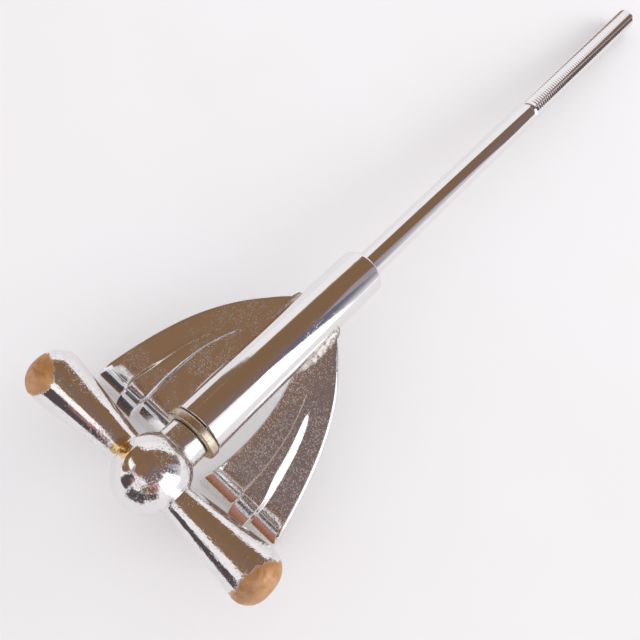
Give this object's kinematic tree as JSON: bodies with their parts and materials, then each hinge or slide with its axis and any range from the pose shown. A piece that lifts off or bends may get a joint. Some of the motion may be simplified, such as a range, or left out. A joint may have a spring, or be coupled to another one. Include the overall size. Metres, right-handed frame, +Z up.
{
  "type": "drum tension rod and claw hook",
  "caption": "T-handled threaded tension rod that slides and turns in a two-winged claw hook, used to draw a drum's hoop down.",
  "frame": {"origin": "midway along the length, on the plane of symmetry, level with the lowest edge of the hooks", "axes": "+X along the rod from the T handle to the threaded tip, +Y to the left wing, +Z up from the hooks to the rod"},
  "size_m": [0.1994, 0.0562, 0.0296],
  "materials": {
    "handle_chrome": "worn chrome plate over cast brass",
    "collar_chrome": "polished chrome",
    "rod_chrome": "polished chrome over steel",
    "washer_nickel": "dull nickel",
    "claw_chrome": "polished chrome",
    "wing_chrome": "pitted chrome",
    "braze_metal": "rough plated braze"
  },
  "bodies": {
    "claw": {"claw_sleeve": "claw_chrome", "left_wing": "wing_chrome", "right_wing": "wing_chrome", "left_braze": "braze_metal", "right_braze": "braze_metal"},
    "washer": {"washer": "washer_nickel"},
    "t_rod": {"t_handle": "handle_chrome", "neck_collar": "collar_chrome", "tension_rod": "rod_chrome"}
  },
  "joints": [
    {"name": "rod_slide", "type": "slide", "parent": "claw", "child": "washer", "axis": [-1, 0, 0], "range_m": [0, 0.12]},
    {"name": "rod_spin", "type": "hinge", "parent": "washer", "child": "t_rod", "pos_m": [-0.08402, 0, 0.0226], "axis": [1, 0, 0], "continuous": true}
  ]
}
